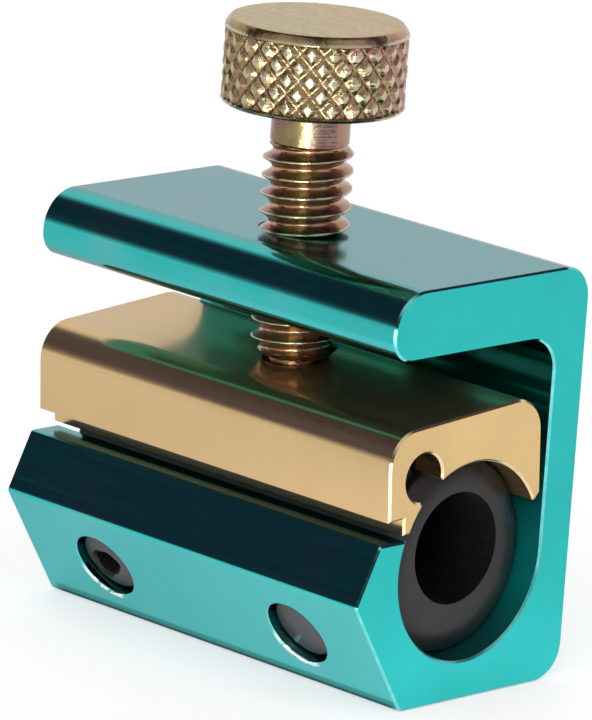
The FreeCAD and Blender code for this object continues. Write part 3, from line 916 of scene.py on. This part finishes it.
def zinc_steel(name, tint, hues, crest_radius, hollow_radius, stain, rubbed_and_lit_radius, pitting):
    """Yellow-passivated zinc on turned steel, stained where it lies below its crests; its hues,
    rubbed crests and flat top carry painted reflection and highlight.
    """
    made, tree, shader = material(name)
    coordinates = object_coordinates(tree)
    x, y, z = components(tree, coordinates["Object"])
    off_x = math_node(tree, "SUBTRACT", x, SCREW_X)
    off_y = math_node(tree, "SUBTRACT", y, SCREW_Y)
    radius = off_axis(tree, off_x, off_y)
    sideways = total(tree, product(tree, off_x, ACROSS_VIEW[0]),
                     product(tree, off_y, ACROSS_VIEW[1]))
    # hues laid from left to right as the camera sees the screw, partly as painted reflection
    place_across_view = map_range(tree, math_node(tree, "DIVIDE", sideways, radius), -1.0, 1.0, *hues)
    flat = map_range(tree, components(tree, coordinates["Normal"])[2], 0.9, 0.98, 0.0, 1.0)
    side = opposite(tree, flat)
    sunk = map_range(tree, radius, hollow_radius, crest_radius, stain, 0.0)
    zinc = use_group(tree, tint, Place=place_across_view, Hollow=product(tree, sunk, side))
    # rubbed crests and pads, made lighter also as painted highlight
    rubbed_and_lit = map_range(tree, radius, rubbed_and_lit_radius - 0.08 * MM, rubbed_and_lit_radius, 0.0, 0.7)
    turned_side = mix_colour(tree, product(tree, rubbed_and_lit, side), zinc["Colour"], RUBBED_AND_LIT_CREST)
    brushed = stretched(tree, product(tree, off_x, 160.0), product(tree, off_y, 4200.0), 0.0)
    wiped = pattern(tree, brushed, 1.0, 3.0, 0.65)
    pink_across_view = map_range(tree, place_across_view, 0.35, 0.8, 0.0, 1.0)
    # painted light: the flat top is made lighter for its grazing reflection
    top = mix_colour(tree, map_range(tree, wiped, 0.38, 0.62, 0.0, 1.0),
                     mix_colour(tree, pink_across_view, LIT_TOP_OLIVE, LIT_TOP_PINK), LIT_TOP_WIPED)
    tree.links.new(mix_colour(tree, flat, turned_side, top), shader.inputs["Base Color"])
    speckled = map_range(tree, zinc["Specks"], 0.3, 0.7, 0.16, 0.28)
    tree.links.new(total(tree, speckled, product(tree, flat, 0.12)), shader.inputs["Roughness"])
    shader.inputs["Metallic"].default_value = 1.0
    lathe_lines = stretched(tree, product(tree, off_x, 300.0), product(tree, off_y, 300.0),
                            product(tree, z, 9000.0))
    lined = product(tree, pattern(tree, lathe_lines, 1.0, 2.0, 0.6), side, 1.2)
    grain = total(tree, product(tree, zinc["Specks"], 0.6),
                  product(tree, zinc["Pits"], pitting))
    relief = total(tree, product(tree, grain, side), lined, product(tree, wiped, flat))
    emboss(tree, shader, relief, 0.6, 0.04 * MM)
    return made


def spring_steel(name, tint):
    """Dark oiled spring steel of the ring on the screw's tip."""
    made, tree, shader = material(name)
    specks = use_group(tree, tint)["Specks"]
    colour = mix_colour(tree, map_range(tree, specks, 0.3, 0.7, 0.0, 1.0),
                        (0.10, 0.10, 0.11, 1), (0.2, 0.19, 0.18, 1))
    tree.links.new(colour, shader.inputs["Base Color"])
    tree.links.new(map_range(tree, specks, 0.3, 0.7, 0.25, 0.4), shader.inputs["Roughness"])
    shader.inputs["Metallic"].default_value = 1.0
    return made


# --- rubber --------------------------------------------------------------------------------------
def rubber(name, painted_floor_light):
    """Moulded nitrile rubber: dark grey outside, lighter with painted light on faces looking out
    of the cross holes, near black with painted shade and rougher inside the cable's way.
    """
    made, tree, shader = material(name)
    coordinates = object_coordinates(tree)
    place = coordinates["Object"]
    _, y, z = components(tree, place)
    away = off_axis(tree, y, math_node(tree, "SUBTRACT", z, BORE_HEIGHT))
    inside = map_range(tree, away, HOUSING_RADIUS + 0.06 * MM, HOUSING_RADIUS + 0.01 * MM,
                       0.0, 1.0)
    bloom = pattern(tree, place, 420.0, 4.0, 0.6)
    grain = pattern(tree, place, 3400.0, 3.0, 0.7)
    clean = mix_colour(tree, map_range(tree, bloom, 0.35, 0.7, 0.0, 1.0),
                       (0.020, 0.017, 0.0175, 1), (0.028, 0.024, 0.025, 1))
    # painted light: faces looking out of the cross holes are made lighter for the sheet's light on
    # them
    facing = pointing(tree, coordinates["Normal"], BEVEL_OUTWARD)
    outward = map_range(tree, facing, 0.9, 0.97, 0.0, 1.0)
    outer = mix_colour(tree, product(tree, outward, painted_floor_light), clean, (0.155, 0.135, 0.145, 1))
    # painted shade: the cable's way is made near black, with brown specks
    bore = mix_colour(tree, map_range(tree, grain, 0.45, 0.75, 0.0, 1.0),
                      (0.0006, 0.0005, 0.0005, 1), (0.022, 0.016, 0.014, 1))
    tree.links.new(mix_colour(tree, inside, outer, bore), shader.inputs["Base Color"])
    tree.links.new(total(tree, map_range(tree, grain, 0.3, 0.7, 0.3, 0.48),
                         product(tree, inside, 0.3)), shader.inputs["Roughness"])
    shader.inputs["Specular IOR Level"].default_value = 0.35
    emboss(tree, shader, grain, 0.25, 0.02 * MM)
    return made


# --- stage ---------------------------------------------------------------------------------------
def heading(azimuth, elevation):
    """The direction at an azimuth, counted from the front towards +X, and an elevation."""
    a, e = math.radians(azimuth), math.radians(elevation)
    return Vector((math.sin(a) * math.cos(e), -math.cos(a) * math.cos(e), math.sin(e)))


def outside_painted_shadow(tree, x, y):
    """Painted shadow in reflections of the sheet: 1 beside the part, 0 under it, with a half-lit
    strip along its toe.
    """
    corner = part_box("channel_body")[1]
    past_end = map_range(tree, math_node(tree, "ABSOLUTE", x), corner.x - 1 * MM, corner.x,
                         0.0, 1.0)
    past_back = map_range(tree, y, corner.y - 2 * MM, corner.y, 0.0, 1.0)
    half_lit = map_range(tree, y, -TOE_REACH - 0.2 * MM, -TOE_REACH - 0.3 * MM, 0.0, 0.4)
    past_toe = map_range(tree, y, -TOE_REACH - 0.5 * MM, -TOE_REACH - 0.57 * MM, half_lit, 1.0)
    return larger(tree, past_end, larger(tree, past_toe, past_back))


def painted_light_pool(tree, place, away):
    """A painted pool of light on the sheet, seen only in reflections, some way off the part in
    front.
    """
    compass = add(tree, "ShaderNodeVectorMath", operation="NORMALIZE")
    tree.links.new(place, compass.inputs[0])
    ahead = pointing(tree, compass.outputs["Vector"], heading(POOL_AZIMUTH, 0))
    in_pool = map_range(tree, ahead, math.cos(math.radians(POOL_HALF_ANGLE)), 1.0, 0.0, 1.0)
    clear = map_range(tree, away, POOL_START, POOL_FULL, 0.0, 1.0, True)
    return product(tree, math_node(tree, "POWER", in_pool, 6.0), PAINTED_POOL_GLOW, clear)


def sheet_glow(tree):
    """The white sheet's own glow, even for the camera; in reflections a painted glow, dimmer away
    from the part, brighter on its right, with painted shade under the part and after a second
    reflection.
    """
    path = tree.nodes.new("ShaderNodeLightPath").outputs
    direct = larger(tree, path["Is Camera Ray"], path["Is Transmission Ray"])
    first = map_range(tree, path["Ray Depth"], 1.0, 2.0, 1.0, SECOND_GLOW)
    place = object_coordinates(tree)["Object"]
    x, y, _ = components(tree, place)
    length = add(tree, "ShaderNodeVectorMath", operation="LENGTH")
    tree.links.new(place, length.inputs[0])
    away = length.outputs["Value"]
    near = map_range(tree, away, NEAR_EDGE, FAR_EDGE, NEAR_GLOW, FAR_GLOW, True)
    sideways = map_range(tree, x, -SIDE_REACH, SIDE_REACH, LEFT_SHARE, RIGHT_SHARE)
    lit = total(tree, product(tree, near, sideways), painted_light_pool(tree, place, away))
    painted_reflection_glow = product(tree, lit, outside_painted_shadow(tree, x, y), first, path["Is Glossy Ray"])
    return total(tree, product(tree, direct, SHEET_GLOW), painted_reflection_glow)


def floor():
    """A round white sheet under the part, which keeps its shadow, and whose reflections carry
    painted light and shade.
    """
    ring = [heading(360 * j / 96, 0) * SHEET_RADIUS for j in range(96)]
    mesh = bpy.data.meshes.new("floor")
    mesh.from_pydata([tuple(v) for v in ring], [], [tuple(range(96))])
    plane = bpy.data.objects.new("floor", mesh)
    bpy.context.scene.collection.objects.link(plane)
    made = bpy.data.materials.new("white_sheet")
    made.use_nodes = True
    tree = made.node_tree
    tree.nodes.clear()
    diffuse = add(tree, "ShaderNodeBsdfDiffuse", Color=(0.86, 0.86, 0.86, 1))
    glow = add(tree, "ShaderNodeEmission", Color=(1, 1, 1, 1), Strength=sheet_glow(tree))
    both = tree.nodes.new("ShaderNodeAddShader")
    tree.links.new(diffuse.outputs[0], both.inputs[0])
    tree.links.new(glow.outputs[0], both.inputs[1])
    out = tree.nodes.new("ShaderNodeOutputMaterial")
    tree.links.new(both.outputs[0], out.inputs[0])
    paint(plane, made)


def studio():
    """A bright backdrop behind and below, a dark room in front, and a soft glow at each side."""
    world = bpy.data.worlds.new("studio")
    bpy.context.scene.world = world
    world.use_nodes = True
    tree = world.node_tree
    tree.nodes.clear()
    direction = tree.nodes.new("ShaderNodeTexCoord").outputs["Generated"]
    towards = pointing(tree, direction, BACKDROP_DIRECTION.normalized())
    bright = map_range(tree, towards, -0.17, -0.03, 0.0, 1.0, True)
    lit = mix_colour(tree, bright, DARK_ROOM, BACKDROP)
    for azimuth in SIDE_GLOW_AZIMUTHS:
        towards = pointing(tree, direction, heading(azimuth, SIDE_GLOW_ELEVATION))
        spread = map_range(tree, towards, 0.78, 0.96, 0.0, 1.0, True)
        lit = mix_colour(tree, spread, lit, SIDE_GLOW)
    path = tree.nodes.new("ShaderNodeLightPath").outputs
    shown = mix_colour(tree, path["Is Camera Ray"], lit, (1, 1, 1, 1))
    background = add(tree, "ShaderNodeBackground", Color=shown, Strength=1.0)
    out = tree.nodes.new("ShaderNodeOutputWorld")
    tree.links.new(background.outputs[0], out.inputs[0])


def softbox(name, back, distance, width, height, watts, mirrored=True):
    """An area lamp that stands back from the middle of the part and is aimed at it."""
    data = bpy.data.lights.new(name, "AREA")
    data.shape = "RECTANGLE"
    data.size = width
    data.size_y = height
    data.energy = watts
    lamp = bpy.data.objects.new(name, data)
    lamp.location = (cad_box[0] + cad_box[1]) / 2 + back * distance
    lamp.rotation_mode = "QUATERNION"
    lamp.rotation_quaternion = (-back).to_track_quat("-Z", "Y")
    lamp.visible_camera = False
    lamp.visible_glossy = mirrored
    bpy.context.scene.collection.objects.link(lamp)


def camera():
    """A long lens on the part's right, a little above it and slightly rolled."""
    roll = math.radians(CAMERA_ROLL)
    back = heading(CAMERA_AZIMUTH, CAMERA_ELEVATION)
    level = Vector((0, 0, 1)).cross(back).normalized()
    upright = back.cross(level)
    right = level * math.cos(roll) + upright * math.sin(roll)
    up = upright * math.cos(roll) - level * math.sin(roll)
    data = bpy.data.cameras.new("camera")
    data.lens = CAMERA_LENS
    data.sensor_width = 36.0
    data.clip_start = 0.01
    data.clip_end = 20.0
    view = bpy.data.objects.new("camera", data)
    turned = Matrix((right, up, back)).transposed()
    place = CAMERA_TARGET + back * CAMERA_DISTANCE
    view.matrix_world = Matrix.Translation(place) @ turned.to_4x4()
    bpy.context.scene.collection.objects.link(view)
    bpy.context.scene.camera = view


# --- putting it together -------------------------------------------------------------------------
camera()
studio()
floor()
softbox("front_softbox", heading(38, 23), distance=0.5, width=0.14, height=0.05, watts=0.3)
softbox("overhead_softbox", heading(20, 70), distance=0.9, width=0.7, height=0.7, watts=0.9,
        mirrored=False)
bpy.context.scene.view_settings.view_transform = "Standard"

aluminium_groups = (drawn_lines_group(), sawn_end_group())
teal = anodised("teal_anodised", aluminium_groups,
                dye=(0.005, 0.47, 0.455, 1), end_dye=(0.008, 0.455, 0.44, 1),
                bare_and_highlight=(0.3, 0.72, 0.72, 1), worn=(0.16, 0.36, 0.40, 1),
                glance=(0.3, 0.3, 0.35, 1), roughness=0.10, haze=0.15, body=0.01,
                groove_body=0.5, groove_radius=7.05 * MM, painted_mouth_highlights=True)
gold = anodised("gold_anodised", aluminium_groups,
                dye=(0.665, 0.455, 0.215, 1), end_dye=(0.675, 0.47, 0.21, 1),
                bare_and_highlight=(0.9, 0.75, 0.5, 1), worn=(0.52, 0.385, 0.19, 1),
                glance=(0.7, 0.65, 0.6, 1), roughness=0.14, haze=0.45, body=0.05,
                groove_body=0.12, groove_radius=7.2 * MM, painted_mouth_highlights=False)
tint = zinc_tint_group()
head_zinc = zinc_steel("knurled_zinc", tint, hues=(0.2, 0.66), stain=0.45, pitting=2.6,
                       crest_radius=HEAD_RADIUS - 0.1 * MM,
                       hollow_radius=HEAD_RADIUS - 0.35 * MM,
                       rubbed_and_lit_radius=HEAD_RADIUS - 0.05 * MM)
shank_zinc = zinc_steel("threaded_zinc", tint, hues=(0.0, 1.0), stain=0.85, pitting=2.4,
                        crest_radius=NECK_RADIUS - 0.02 * MM,
                        hollow_radius=THREAD_MAJOR_RADIUS - THREAD_DEPTH,
                        rubbed_and_lit_radius=THREAD_MAJOR_RADIUS - 0.02 * MM)
steel = spring_steel("spring_steel", tint)
black = rubber("black_rubber", painted_floor_light=0.0)
floor_lit_rubber = rubber("painted_floor_lit_rubber", painted_floor_light=0.5)

for node, made in (("channel_body", teal), ("clamp_bar", gold), ("tip_retaining_ring", steel)):
    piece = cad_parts[node]
    smooth_faces(piece.data, 28.0)
    weighted = piece.modifiers.new("even_shading", "WEIGHTED_NORMAL")
    weighted.keep_sharp = True
    weighted.weight = 100
    paint(piece, made)

for piece, made in ((knurled_head(), head_zinc), (threaded_shank(), shank_zinc)):
    paint(piece, made)
    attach(piece, "screw")
    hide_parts("thumb_screw")

for piece, made in zip(seal_lower(), (black, floor_lit_rubber)):
    paint(piece, made)
    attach(piece, "channel")
    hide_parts("seal_lower")

upper = seal_upper()
paint(upper, black)
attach(upper, "bar")
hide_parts("seal_upper")

hinge = seal_hinge()
paint(hinge, black)
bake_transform(hinge)
